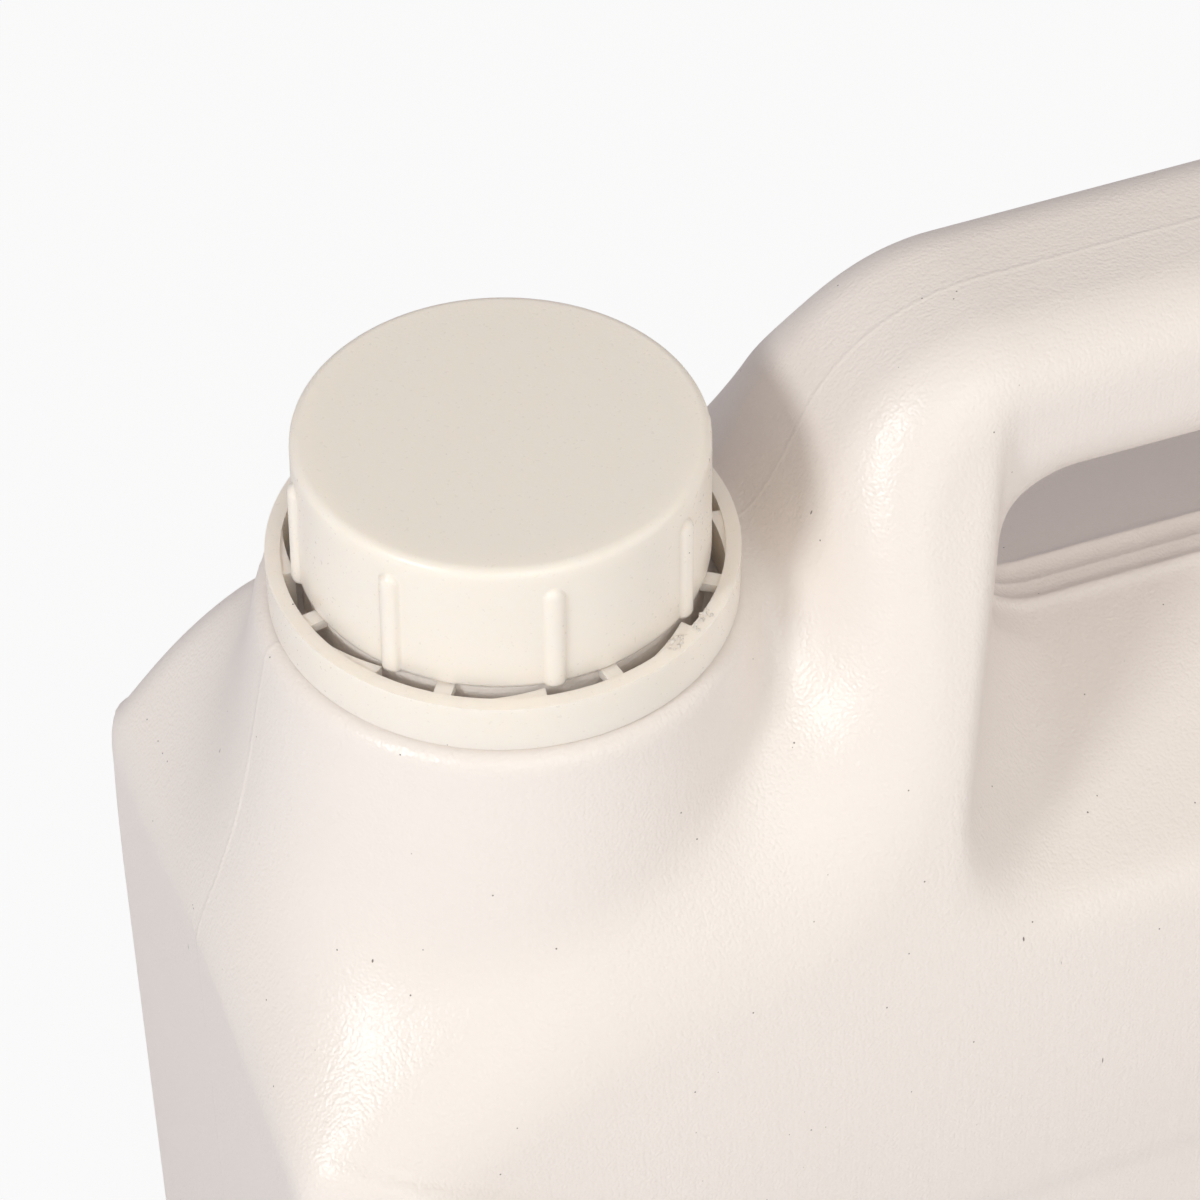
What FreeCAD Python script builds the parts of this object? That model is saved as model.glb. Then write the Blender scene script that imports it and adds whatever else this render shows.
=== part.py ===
"""Five-litre blow-moulded bottle with a hollow through handle, a tall neck hub,
a wide screw cap and the tamper ring that the cap leaves behind.

Frame: millimetres, Z up, Z = 0 under the base, the neck axis on X = 0, Y = 0, and the
handle running towards +X.  build() moves everything so that the origin is the centre of
the base.
"""
import FreeCAD, Part
import math
import os
import Sketcher

# alias: (value, what it is); lengths in millimetres, angles in degrees
SIZES = {
    # the moulded body
    "left_reach": (44.6, "neck axis to the left end"),
    "right_reach": (162.0, "neck axis to the right end"),
    "half_width": (51.0, "half the width of the body"),
    "edge_radius": (10.0, "round along the front and back edges, handle included"),
    "foot_radius": (7.0, "round between the walls and the base"),
    "wall": (1.2, "wall of the blown body"),
    "platform_height": (263.5, "top of the body under the neck hub"),
    "shoulder_drop": (44.8, "platform to the low end of the left shoulder"),
    "shoulder_angle": (58.0, "slope of the left shoulder from level"),
    "shoulder_radius": (10.0, "round between the left end and the shoulder"),
    "platform_radius": (14.0, "round between the shoulder and the platform"),
    "belly_drop": (78.5, "platform to where the front and back start to lean in"),
    "recess_margin": (13.0, "standing ring left round the base recess"),
    "recess_depth": (3.0, "height of the base recess"),
    "recess_radius": (11.0, "corners of the base recess"),
    # handle and eye
    "handle_rise": (37.2, "platform to the top of the handle"),
    "handle_half_width": (17.0, "half the width of the handle"),
    "neckline_radius": (20.0, "hollow curve from the handle's side into the flank"),
    "grip_edge_radius": (12.0, "round along the handle's lower edges"),
    "grip_height": (27.7, "height of the handle's section"),
    "root_gap": (8.95, "tamper ring to the front root of the handle"),
    "root_length": (26.7, "front root of the handle, along the bottle"),
    "root_foot_radius": (12.0, "hollow curve from the platform into the front root"),
    "root_radius": (25.0, "front bend of the handle"),
    "rear_length": (26.0, "rear root of the handle, along the bottle"),
    "rear_radius": (30.0, "rear bend of the handle"),
    "eye_height": (25.0, "finger room under the handle"),
    "eye_radius": (9.0, "upper corners of the eye"),
    "ridge_half_width": (9.5, "half the flat ridge under the handle"),
    "scoop_wall_slope": (0.56, "how fast the scoop widens towards the faces"),
    "scoop_floor_slope": (0.585, "how fast the scoop's floor falls"),
    "scoop_radius": (12.0, "lower corners of the eye and of its scoops"),
    # neck
    "hub_rise": (5.5, "platform to the top of the neck hub"),
    "hub_margin": (1.65, "tamper ring to the hub's edge"),
    "hub_edge_radius": (2.2, "round on the hub's top edge"),
    "hub_slope": (0.185, "how much the hub widens per millimetre down"),
    "hub_length": (55.0, "height of the hub, with what runs down inside the body"),
    "neck_height": (22.3, "hub to the rim of the neck"),
    "neck_wall": (2.7, "wall of the neck"),
    "collar_height": (2.6, "height of the ratchet collar"),
    "collar_gap": (0.9, "ratchet teeth to the collar"),
    # closure
    "cap_radius": (26.0, "outside of the cap below its rim"),
    "cap_wall": (2.4, "wall of the cap's skirt, at its top"),
    "cap_draft": (0.9, "draft of the cap's skirt in degrees"),
    "cap_rim_radius": (1.3, "round on the cap's rim"),
    "cap_plate": (2.2, "top plate of the cap"),
    "thread_room": (2.4, "cap's bore to the neck, for the thread"),
    "rib_count": (8, "grip ribs round the cap"),
    "rib_width": (2.5, "width of a grip rib"),
    "rib_height": (0.86, "how far a rib stands out"),
    "rib_start": (3.4, "rim of the cap to the top of a rib"),
    "rib_turn": (-6.3, "angle of the first rib"),
    "liner_thickness": (1.2, "sealing wad"),
    "liner_play": (0.5, "wad to the cap's skirt"),
    "running_gap": (0.3, "clearance between the closure's pieces"),
    # tamper ring
    "ring_slot": (2.1, "cap to the inside of the tamper ring"),
    "ring_wall": (1.95, "wall of the tamper ring"),
    "ring_height": (6.9, "height of the tamper ring"),
    "spoke_count": (8, "bridges round the tamper ring"),
    "spoke_width": (2.2, "width of a bridge"),
    "spoke_thickness": (1.3, "thickness of a bridge"),
    "tooth_depth": (1.6, "height of a ratchet tooth's step"),
    "tooth_span": (17.0, "angle that a tooth's ramp takes"),
    "tooth_turn": (26.5, "angle from a bridge to the next tooth's step"),
    "bridge_turn": (9.3, "angle of the first bridge"),
}

# alias: (formula over the sizes, what it is)
DERIVED = {
    "shoulder_height": ("=platform_height - shoulder_drop", "where the left shoulder starts"),
    "belly_height": ("=platform_height - belly_drop", "where the flanks start to lean in"),
    "handle_top": ("=platform_height + handle_rise", "top of the handle"),
    "grip_middle": ("=handle_top - grip_height / 2", "middle of the handle's height"),
    "lean_in": ("=half_width - handle_half_width", "how far the flanks lean in"),
    "lean_height": ("=grip_middle - belly_height", "height that the flanks lean over"),
    "flank_radius": ("=(lean_in ^ 2 + lean_height ^ 2) / (2 * lean_in)",
                     "arc that leaves the upright belly without a kink"),
    "eye_ceiling": ("=handle_top - grip_height", "underside of the handle"),
    "eye_floor": ("=eye_ceiling - eye_height", "floor of the eye"),
    "hub_top": ("=platform_height + hub_rise", "top of the neck hub"),
    "hub_foot": ("=hub_top - hub_length", "where the hub ends inside the body"),
    "neck_rim": ("=hub_top + neck_height", "rim of the neck"),
    "cap_bore_radius": ("=cap_radius - cap_wall", "inside of the cap's skirt"),
    "neck_radius": ("=cap_bore_radius - thread_room", "outside of the neck"),
    "bore_radius": ("=neck_radius - neck_wall", "inside of the neck"),
    "ring_bore_radius": ("=cap_radius + ring_slot", "inside of the tamper ring"),
    "ring_radius": ("=ring_bore_radius + ring_wall", "outside of the tamper ring"),
    "tooth_reach": ("=ring_bore_radius - tooth_depth", "inner end of a ratchet tooth"),
    "collar_radius": ("=tooth_reach - collar_gap", "ratchet collar at the neck's foot"),
    "spoke_reach": ("=cap_bore_radius + running_gap", "inner end of a bridge"),
    "hub_top_radius": ("=ring_radius + hub_margin", "radius of the hub at its top"),
    "root_left": ("=ring_radius + root_gap", "left side of the front root"),
    "eye_left": ("=root_left + root_length", "left side of the eye at the ridge"),
    "eye_right": ("=right_reach - rear_length", "right side of the eye at the ridge"),
    "liner_foot": ("=neck_rim + running_gap", "underside of the sealing wad"),
    "cap_top": ("=liner_foot + liner_thickness + cap_plate", "top of the cap"),
    "ring_foot": ("=hub_top + running_gap", "underside of the tamper ring"),
    "cap_foot": ("=ring_foot + ring_height", "underside of the cap"),
    "cap_height": ("=cap_top - cap_foot", "height of the cap"),
}

OVERSHOOT = 5.0      # how far a cutting shape runs past what it cuts


def make_sheet(doc):
    sheet = doc.addObject("Spreadsheet::Sheet", "Sizes")
    rows = list(SIZES.items()) + list(DERIVED.items())
    for row, (alias, (value, meaning)) in enumerate(rows, start=1):
        sheet.set(f"A{row}", meaning)
        sheet.set(f"B{row}", str(value))
        sheet.setAlias(f"B{row}", alias)
    doc.recompute()
    return sheet


class Model:
    """The document and the few ways in which this model adds shapes to it."""

    def __init__(self):
        self.doc = FreeCAD.newDocument("bottle")
        self.sheet = make_sheet(self.doc)

    def size(self, expression):
        """The number that an expression over the sheet gives."""
        return float(self.sheet.evalExpression(expression))

    def add(self, kind, name, **formulas):
        """A document object whose properties follow the sheet."""
        item = self.doc.addObject(kind, name)
        for prop, formula in formulas.items():
            item.setExpression(prop.replace("__", "."), formula)
        self.doc.recompute()
        return item

    def boolean(self, kind, name, base, tool):
        item = self.doc.addObject(kind, name)
        item.Base = base
        item.Tool = tool
        self.doc.recompute()
        return item

    def fuse(self, name, shapes):
        item = self.doc.addObject("Part::MultiFuse", name)
        item.Shapes = shapes
        self.doc.recompute()
        return item

    def common(self, name, shapes):
        item = self.doc.addObject("Part::MultiCommon", name)
        item.Shapes = shapes
        self.doc.recompute()
        return item

    def fillet(self, name, base, radius, chosen, flat=False):
        """Rounds the edges of base for which chosen(edge) is true.

        A flat one is a chamfer instead, just deep enough to stay behind the round.
        """
        edges = [i for i, edge in enumerate(base.Shape.Edges, start=1) if chosen(edge)]
        reach = radius * (2 - math.sqrt(2)) if flat else radius
        item = self.doc.addObject("Part::Chamfer" if flat else "Part::Fillet", name)
        item.Base = base
        item.Edges = [(i, reach, reach) for i in edges]
        self.doc.recompute()
        return item

    def outline(self, name, corners, rotation):
        """A closed sketch of straight sides; each corner is a pair of formulas."""
        sketch = self.doc.addObject("Sketcher::SketchObject", name)
        sketch.Placement = FreeCAD.Placement(FreeCAD.Vector(), rotation)
        points = [FreeCAD.Vector(self.size(a), self.size(b), 0) for a, b in corners]
        count = len(points)
        for i in range(count):
            sketch.addGeometry(Part.LineSegment(points[i], points[(i + 1) % count]))
        for i in range(count):
            sketch.addConstraint(Sketcher.Constraint("Coincident", i, 2, (i + 1) % count, 1))
        for i, (across, up) in enumerate(corners):
            for kind, formula, number in (("DistanceX", across, points[i].x),
                                          ("DistanceY", up, points[i].y)):
                index = sketch.addConstraint(Sketcher.Constraint(kind, -1, 1, i, 1, number))
                sketch.setExpression(f"Constraints[{index}]", formula)
        self.doc.recompute()
        return sketch

    def extrude(self, name, sketch, length):
        """A solid that reaches as far to both sides of the sketch's plane."""
        item = self.doc.addObject("Part::Extrusion", name)
        item.Base = sketch
        item.DirMode = "Normal"
        item.Solid = True
        item.Symmetric = True
        item.setExpression("LengthFwd", length)
        self.doc.recompute()
        return item


UPRIGHT_X = FreeCAD.Rotation(FreeCAD.Vector(1, 0, 0), 90)        # sketch in the XZ plane
UPRIGHT_Y = FreeCAD.Rotation(FreeCAD.Vector(1, 1, 1), 120)       # sketch in the YZ plane


def along(axis):
    """Chooses the straight edges that run along an axis."""
    def chosen(edge):
        if edge.Curve.TypeId != "Part::GeomLine":
            return False
        start, end = edge.firstVertex().Point, edge.lastVertex().Point
        return abs(abs((end - start).normalize().dot(axis)) - 1) < 1e-6
    return chosen


def slanted(edge):
    """Chooses the straight edges that run along none of the planes of the frame."""
    run = edge.lastVertex().Point - edge.firstVertex().Point
    return min(abs(run.x), abs(run.y), abs(run.z)) > 0.01


def near(axis, across, up, point):
    """Chooses an edge along axis that passes a point given on two other axes."""
    straight = along(axis)

    def chosen(edge):
        if not straight(edge):
            return False
        spot = edge.firstVertex().Point
        return abs(spot.dot(across) - point[0]) < 0.01 and abs(spot.dot(up) - point[1]) < 0.01
    return chosen


X_AXIS = FreeCAD.Vector(1, 0, 0)
Y_AXIS = FreeCAD.Vector(0, 1, 0)
Z_AXIS = FreeCAD.Vector(0, 0, 1)


def shoulder_point(height, inset):
    """Where the shoulder's plane, moved in by inset, passes a height."""
    return (f"(-Sizes.left_reach + {inset} / sin(Sizes.shoulder_angle)"
            f" + (({height}) - Sizes.shoulder_height) / tan(Sizes.shoulder_angle))")


def outline_edges(shape, foot):
    """The edges where the rounded outline, which runs across the body, meets the flanks."""
    def faces_along(face):
        u_low, u_high, v_low, v_high = face.ParameterRange
        normal = face.normalAt((u_low + u_high) / 2, (v_low + v_high) / 2)
        return abs(normal.y) < 1e-4

    chosen = []
    for edge in shape.Edges:
        sides = [faces_along(face) for face in shape.Faces
                 if any(edge.isSame(other) for other in face.Edges)]
        above_foot = max(v.Point.z for v in edge.Vertexes) > foot + 0.01
        if above_foot and sorted(sides) == [False, True]:
            chosen.append(edge)
    return lambda edge: any(edge.isSame(other) for other in chosen)


def blown_form(model, name, inset):
    """The body's outer form, or with an inset the space inside it."""
    size = model.size
    step = size(inset)
    over = OVERSHOOT

    # seen from the front: shoulder, platform under the hub, and the handle's back
    left = f"(-Sizes.left_reach + {inset})"
    right = f"(Sizes.right_reach - {inset})"
    platform = f"(Sizes.platform_height - {inset})"
    shoulder_top = shoulder_point(platform, inset)
    shoulder_foot = (f"(Sizes.shoulder_height - {inset}"
                     " * (1 / cos(Sizes.shoulder_angle) - tan(Sizes.shoulder_angle)))")
    root = f"(Sizes.root_left + {inset})"
    top = f"(Sizes.handle_top - {inset})"
    side = model.outline(f"{name}_side_outline",
                         [(left, inset), (left, shoulder_foot), (shoulder_top, platform),
                          (root, platform), (root, top), (right, top), (right, inset)],
                         UPRIGHT_X)
    side = model.extrude(f"{name}_side", side, f"2 * Sizes.half_width + {2 * over}")
    for label, x, z, radius in (
            ("shoulder_bend", left, shoulder_foot, size("Sizes.shoulder_radius") - step),
            ("platform_bend", shoulder_top, platform, size("Sizes.platform_radius") - step),
            ("root_foot", root, platform, size("Sizes.root_foot_radius") + step),
            ("front_bend", root, top, size("Sizes.root_radius") - step),
            ("rear_bend", right, top, size("Sizes.rear_radius") - step)):
        side = model.fillet(f"{name}_{label}", side, radius,
                            near(Y_AXIS, X_AXIS, Z_AXIS, (size(x), size(z))))

    # seen from the end: flanks that lean in and run up into the handle's sides
    body = model.common(f"{name}_hull", [side, flank_form(model, name, inset)])
    body = model.fillet(f"{name}_edges", body, size("Sizes.edge_radius") - step,
                        outline_edges(body.Shape, step), flat=step > 0)
    body = model.fillet(f"{name}_foot", body, size("Sizes.foot_radius") - step,
                        lambda edge: max(v.Point.z for v in edge.Vertexes) < step + 0.01,
                        flat=True)

    hub = model.add("Part::Cone", f"{name}_hub",
                    Radius1=f"Sizes.hub_top_radius - {inset}"
                            f" + (Sizes.hub_top - Sizes.hub_foot) * Sizes.hub_slope",
                    Radius2=f"Sizes.hub_top_radius - {inset} + {inset} * Sizes.hub_slope",
                    Height=f"Sizes.hub_top - Sizes.hub_foot - {inset}",
                    Placement__Base__z="Sizes.hub_foot")
    if not step:
        hub_top = size("Sizes.hub_top")
        hub = model.fillet(f"{name}_hub_edge", hub, size("Sizes.hub_edge_radius"),
                           lambda edge: min(v.Point.z for v in edge.Vertexes) > hub_top - 0.01,
                           flat=True)
    body = model.fuse(f"{name}_with_hub", [body, hub])
    body = model.boolean("Part::Cut", f"{name}_with_eye", body, eye_form(model, name, inset))
    body = model.fuse(f"{name}_with_grip", [body, grip_form(model, name, inset)])
    return model.boolean("Part::Cut", name, body, foot_recess(model, name, inset))


def foot_recess(model, name, inset):
    """The hollow in the base that leaves a standing ring round it."""
    over = OVERSHOOT
    block = model.add("Part::Box", f"{name}_recess_block",
                      Length="Sizes.left_reach + Sizes.right_reach"
                             f" - 2 * Sizes.recess_margin + 2 * {inset}",
                      Width=f"2 * Sizes.half_width - 2 * Sizes.recess_margin + 2 * {inset}",
                      Height=f"Sizes.recess_depth + {inset} + {over}",
                      Placement__Base__x=f"-Sizes.left_reach + Sizes.recess_margin - {inset}",
                      Placement__Base__y=f"-Sizes.half_width + Sizes.recess_margin - {inset}",
                      Placement__Base__z=f"{-over}")
    return model.fillet(f"{name}_recess", block, model.size("Sizes.recess_radius"),
                        along(Z_AXIS))


def flank_form(model, name, inset):
    """Upright sides, then an arc from the belly to the handle's side, on both faces."""
    size = model.size
    over = OVERSHOOT
    sketch = model.doc.addObject("Sketcher::SketchObject", f"{name}_flank_outline")
    sketch.Placement = FreeCAD.Placement(FreeCAD.Vector(), UPRIGHT_Y)
    belly_y = size(f"Sizes.half_width - {inset}")
    belly_z = size("Sizes.belly_height")
    grip_y = size(f"Sizes.handle_half_width - {inset}")
    grip_z = size("Sizes.grip_middle")
    top_z = size(f"Sizes.handle_top + {over}")
    radius = size("Sizes.flank_radius")
    half_turn = math.asin((grip_z - belly_z) / radius) / 2

    def point(side, y, z):
        return FreeCAD.Vector(side * y, z, 0)

    def flank(side):
        middle = point(side, belly_y - radius + radius * math.cos(half_turn),
                       belly_z + radius * math.sin(half_turn))
        ends = [point(side, belly_y, belly_z), point(side, grip_y, grip_z)]
        return Part.Arc(ends[0], middle, ends[1]) if side > 0 else Part.Arc(ends[1], middle, ends[0])

    sketch.addGeometry([Part.LineSegment(point(-1, belly_y, -over), point(1, belly_y, -over)),
                        Part.LineSegment(point(1, belly_y, -over), point(1, belly_y, belly_z)),
                        flank(1),
                        Part.LineSegment(point(1, grip_y, grip_z), point(1, grip_y, top_z)),
                        Part.LineSegment(point(1, grip_y, top_z), point(-1, grip_y, top_z)),
                        Part.LineSegment(point(-1, grip_y, top_z), point(-1, grip_y, grip_z)),
                        flank(-1),
                        Part.LineSegment(point(-1, belly_y, belly_z), point(-1, belly_y, -over))],
                       False)
    model.doc.recompute()
    length = f"2 * (Sizes.left_reach + Sizes.right_reach) + {4 * over}"
    flanks = model.extrude(f"{name}_flanks", sketch, length)
    inner_corners = [near(X_AXIS, Y_AXIS, Z_AXIS, (side * grip_y, grip_z)) for side in (1, -1)]
    return model.fillet(f"{name}_neckline", flanks, size(f"Sizes.neckline_radius + {inset}"),
                        lambda edge: any(corner(edge) for corner in inner_corners))


def eye_form(model, name, inset):
    """The eye under the handle and the scoops that open it to both faces."""
    size = model.size
    over = OVERSHOOT
    floor = f"(Sizes.eye_floor - {inset})"
    lid = "Sizes.grip_middle"
    left = f"(Sizes.eye_left - {inset})"
    right = f"(Sizes.eye_right + {inset})"
    hole = model.add("Part::Box", f"{name}_eye_hole",
                     Length=f"{right} - {left}",
                     Width=f"2 * Sizes.half_width",
                     Height=f"{lid} - {floor}",
                     Placement__Base__x=left,
                     Placement__Base__y="-Sizes.half_width",
                     Placement__Base__z=floor)
    floor_z = size(floor)
    hole = model.fillet(f"{name}_eye_corners", hole, size("Sizes.scoop_radius"),
                        lambda edge: along(Y_AXIS)(edge)
                        and abs(edge.firstVertex().Point.z - floor_z) < 0.01)

    def wedge(label, start, low, far_low, cover):
        """A block from y = start outwards whose ends lean apart."""
        first = f"({start} - Sizes.ridge_half_width)"
        last = f"(Sizes.half_width + {over} - Sizes.ridge_half_width)"
        return model.add("Part::Wedge", f"{name}_{label}",
                         Ymin=start, Ymax=f"Sizes.half_width + {over}",
                         Xmin=f"{left} - {first} * Sizes.scoop_wall_slope",
                         Xmax=f"{right} + {first} * Sizes.scoop_wall_slope",
                         X2min=f"{left} - {last} * Sizes.scoop_wall_slope",
                         X2max=f"{right} + {last} * Sizes.scoop_wall_slope",
                         Zmin=low, Zmax=cover, Z2min=far_low, Z2max=cover)

    fall = f"(Sizes.half_width + {over} - Sizes.ridge_half_width + {inset})"
    scoop = wedge("scoop", f"(Sizes.ridge_half_width - {inset})", floor,
                  f"{floor} - {fall} * Sizes.scoop_floor_slope", lid)
    scoop = model.fillet(f"{name}_scoop_corners", scoop, size("Sizes.scoop_radius"),
                         slanted)
    relief = wedge("relief", f"(Sizes.handle_half_width - {inset})", "Sizes.eye_ceiling",
                   "Sizes.eye_ceiling", f"Sizes.handle_top + {over}")
    cuts = [hole]
    for item in (scoop, relief):
        mirror = model.doc.addObject("Part::Mirroring", f"{item.Name}_mirror")
        mirror.Source = item
        mirror.Normal = Y_AXIS
        model.doc.recompute()
        cuts.extend([item, mirror])
    return model.fuse(f"{name}_eye", cuts)


def grip_form(model, name, inset):
    """The handle's lower half with its rounded edges and the bends into both roots."""
    size = model.size
    over = OVERSHOOT
    left = f"(Sizes.eye_left - {inset})"
    right = f"(Sizes.eye_right + {inset})"
    ceiling = f"(Sizes.eye_ceiling + {inset})"
    half = f"(Sizes.handle_half_width - {inset})"
    reach = f"(Sizes.grip_edge_radius + {over})"
    plate = model.add("Part::Box", f"{name}_grip_plate",
                      Length=f"{right} - {left} + 2 * {reach}", Width=f"2 * {half}",
                      Height=f"Sizes.grip_middle + {over / 4} - Sizes.eye_floor - {over}",
                      Placement__Base__x=f"{left} - {reach}",
                      Placement__Base__y=f"-{half}",
                      Placement__Base__z=f"Sizes.eye_floor + {over}")
    gap = model.add("Part::Box", f"{name}_grip_gap",
                    Length=f"{right} - {left}", Width=f"2 * {half} + {2 * over}",
                    Height=f"{ceiling} - Sizes.eye_floor + {over}",
                    Placement__Base__x=left,
                    Placement__Base__y=f"-{half} - {over}",
                    Placement__Base__z=f"Sizes.eye_floor - {over}")
    ceiling_z = size(ceiling)
    gap = model.fillet(f"{name}_grip_bends", gap, size("Sizes.eye_radius"),
                       lambda edge: along(Y_AXIS)(edge)
                       and abs(edge.firstVertex().Point.z - ceiling_z) < 0.01)
    arch = model.boolean("Part::Cut", f"{name}_grip_arch", plate, gap)
    half_y, left_x, right_x = size(half), size(left), size(right)

    def inner_edge(edge):
        """On the arch's inner outline, at either side."""
        spots = [v.Point for v in edge.Vertexes]
        at_side = all(abs(abs(p.y) - half_y) < 0.01 and abs(p.y - spots[0].y) < 0.01
                      for p in spots)
        inside = all(left_x - 0.01 < p.x < right_x + 0.01 and p.z < ceiling_z + 0.01
                     for p in spots)
        return at_side and inside
    return model.fillet(f"{name}_grip", arch,
                        size(f"Sizes.grip_edge_radius - {inset}"), inner_edge, flat=True)


def make_bottle(model):
    outer = blown_form(model, "outer", "0")
    inner = blown_form(model, "inner", "Sizes.wall")
    shell = model.boolean("Part::Cut", "shell", outer, inner)

    neck = model.add("Part::Cylinder", "neck_tube", Radius="Sizes.neck_radius",
                     Height="Sizes.neck_rim - Sizes.hub_top + Sizes.wall",
                     Placement__Base__z="Sizes.hub_top - Sizes.wall")
    collar = model.add("Part::Cone", "neck_collar", Radius1="Sizes.collar_radius",
                       Radius2="Sizes.collar_radius - Sizes.collar_height / 3",
                       Height="Sizes.collar_height + Sizes.wall",
                       Placement__Base__z="Sizes.hub_top - Sizes.wall")
    joined = model.fuse("shell_with_neck", [shell, neck, collar])
    bore = model.add("Part::Cylinder", "neck_bore", Radius="Sizes.bore_radius",
                     Height=f"Sizes.neck_rim - Sizes.hub_top + {2 * OVERSHOOT}",
                     Placement__Base__z=f"Sizes.hub_top - {OVERSHOOT}")
    return model.boolean("Part::Cut", "bottle_body", joined, bore)


def make_cap(model):
    doc = model.doc
    foot = "Sizes.cap_foot"
    flare = "(Sizes.cap_height * tan(Sizes.cap_draft))"
    skirt = model.add("Part::Cone", "cap_outside", Radius1=f"Sizes.cap_radius + {flare}",
                      Radius2="Sizes.cap_radius", Height="Sizes.cap_height",
                      Placement__Base__z=foot)
    top = model.size("Sizes.cap_top")
    skirt = model.fillet("cap_rim", skirt, model.size("Sizes.cap_rim_radius"),
                         lambda edge: min(v.Point.z for v in edge.Vertexes) > top - 0.01,
                         flat=True)
    pieces = [skirt]
    half = "(Sizes.rib_width / 2)"
    rib_radius = f"(({half}^2 + Sizes.rib_height^2) / (2 * Sizes.rib_height))"
    centre = f"(Sizes.cap_radius + Sizes.rib_height - {rib_radius})"
    rib_length = f"(Sizes.cap_height - Sizes.rib_start - {rib_radius})"
    for i in range(int(model.size("Sizes.rib_count"))):
        turn = f"(Sizes.rib_turn + 360 * {i} / Sizes.rib_count)"
        place = {"Placement__Base__x": f"{centre} * cos({turn})",
                 "Placement__Base__y": f"{centre} * sin({turn})"}
        pieces.append(model.add("Part::Cylinder", f"cap_rib_{i}", Radius=rib_radius,
                                Height=rib_length, Placement__Base__z=foot, **place))
        pieces.append(model.add("Part::Cone", f"cap_rib_end_{i}", Radius1=rib_radius,
                                Radius2=f"{rib_radius} / 2", Height=rib_radius,
                                Placement__Base__z=f"{foot} + {rib_length}", **place))
    solid = model.fuse("cap_solid", pieces)
    hollow = model.add("Part::Cylinder", "cap_hollow", Radius="Sizes.cap_bore_radius",
                       Height=f"Sizes.cap_height - Sizes.cap_plate + {OVERSHOOT}",
                       Placement__Base__z=f"{foot} - {OVERSHOOT}")
    return model.boolean("Part::Cut", "screw_cap", solid, hollow)


def make_liner(model):
    return model.add("Part::Cylinder", "cap_liner",
                     Radius="Sizes.cap_bore_radius - Sizes.liner_play",
                     Height="Sizes.liner_thickness",
                     Placement__Base__z="Sizes.liner_foot")


def make_tamper_ring(model):
    foot = "Sizes.ring_foot"
    outside = model.add("Part::Cylinder", "ring_outside", Radius="Sizes.ring_radius",
                        Height="Sizes.ring_height", Placement__Base__z=foot)
    inside = model.add("Part::Cylinder", "ring_inside",
                       Radius="Sizes.ring_bore_radius",
                       Height=f"Sizes.ring_height + {2 * OVERSHOOT}",
                       Placement__Base__z=f"{foot} - {OVERSHOOT}")
    hoop = model.boolean("Part::Cut", "ring_hoop", outside, inside)
    pieces = [hoop]
    spoke_top = "(Sizes.cap_foot - Sizes.running_gap)"
    spoke_end = "(Sizes.ring_radius - Sizes.ring_wall / 2)"
    for i in range(int(model.size("Sizes.spoke_count"))):
        turn = f"(Sizes.bridge_turn + 360 * {i} / Sizes.spoke_count)"
        spoke = model.add("Part::Box", f"ring_spoke_{i}",
                          Length=f"{spoke_end} - Sizes.spoke_reach",
                          Width="Sizes.spoke_width", Height="Sizes.spoke_thickness")
        spoke.Placement = FreeCAD.Placement(FreeCAD.Vector(),
                                            FreeCAD.Rotation(Z_AXIS, model.size(turn)))
        spoke.setExpression("Placement.Base.x", f"Sizes.spoke_reach * cos({turn})"
                                                f" + Sizes.spoke_width / 2 * sin({turn})")
        spoke.setExpression("Placement.Base.y", f"Sizes.spoke_reach * sin({turn})"
                                                f" - Sizes.spoke_width / 2 * cos({turn})")
        spoke.setExpression("Placement.Base.z", f"{spoke_top} - Sizes.spoke_thickness")
        pieces.append(spoke)
        pieces.append(ratchet_tooth(model, i, foot))
    return model.fuse("tamper_ring", pieces)


def ratchet_tooth(model, i, foot):
    """A wedge on the inside of the hoop: a ramp that rises to a radial step."""
    size = model.size
    outer = size("Sizes.ring_radius - Sizes.ring_wall / 2")
    inner = size("Sizes.tooth_reach")
    step = size(f"Sizes.bridge_turn + 360 * {i} / Sizes.spoke_count + Sizes.tooth_turn")
    ramp = step - size("Sizes.tooth_span")

    def spot(radius, angle):
        turn = math.radians(angle)
        return FreeCAD.Vector(radius * math.cos(turn), radius * math.sin(turn), 0)

    seat = size("Sizes.ring_bore_radius")
    middle = (step + ramp) / 2
    edges = [Part.LineSegment(spot(outer, ramp), spot(seat, ramp)),
             Part.Arc(spot(seat, ramp), spot((inner + seat) / 2, middle), spot(inner, step)),
             Part.LineSegment(spot(inner, step), spot(outer, step)),
             Part.Arc(spot(outer, step), spot(outer, middle), spot(outer, ramp))]
    sketch = model.doc.addObject("Sketcher::SketchObject", f"ring_tooth_outline_{i}")
    sketch.addGeometry(edges, False)
    sketch.setExpression("Placement.Base.z", foot)
    model.doc.recompute()
    tooth = model.doc.addObject("Part::Extrusion", f"ring_tooth_{i}")
    tooth.Base = sketch
    tooth.DirMode = "Normal"
    tooth.Solid = True
    tooth.setExpression("LengthFwd", "Sizes.ring_height - Sizes.running_gap")
    model.doc.recompute()
    return tooth


def check(doc, parts):
    for item in doc.Objects:
        if "Invalid" in item.State or "Error" in item.State:
            raise RuntimeError(f"{item.Name} failed: {item.State}")
    for part in parts:
        shape = part.Shape
        if shape.isNull() or not shape.isValid() or not shape.Solids:
            raise RuntimeError(f"{part.Label} is not a valid solid")
        print(part.Label, "solids", len(shape.Solids), "volume", round(shape.Volume / 1000, 2),
              "cm3, box", [round(v, 2) for v in (shape.BoundBox.XMin, shape.BoundBox.XMax,
                                                 shape.BoundBox.YMin, shape.BoundBox.YMax,
                                                 shape.BoundBox.ZMin, shape.BoundBox.ZMax)])


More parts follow.
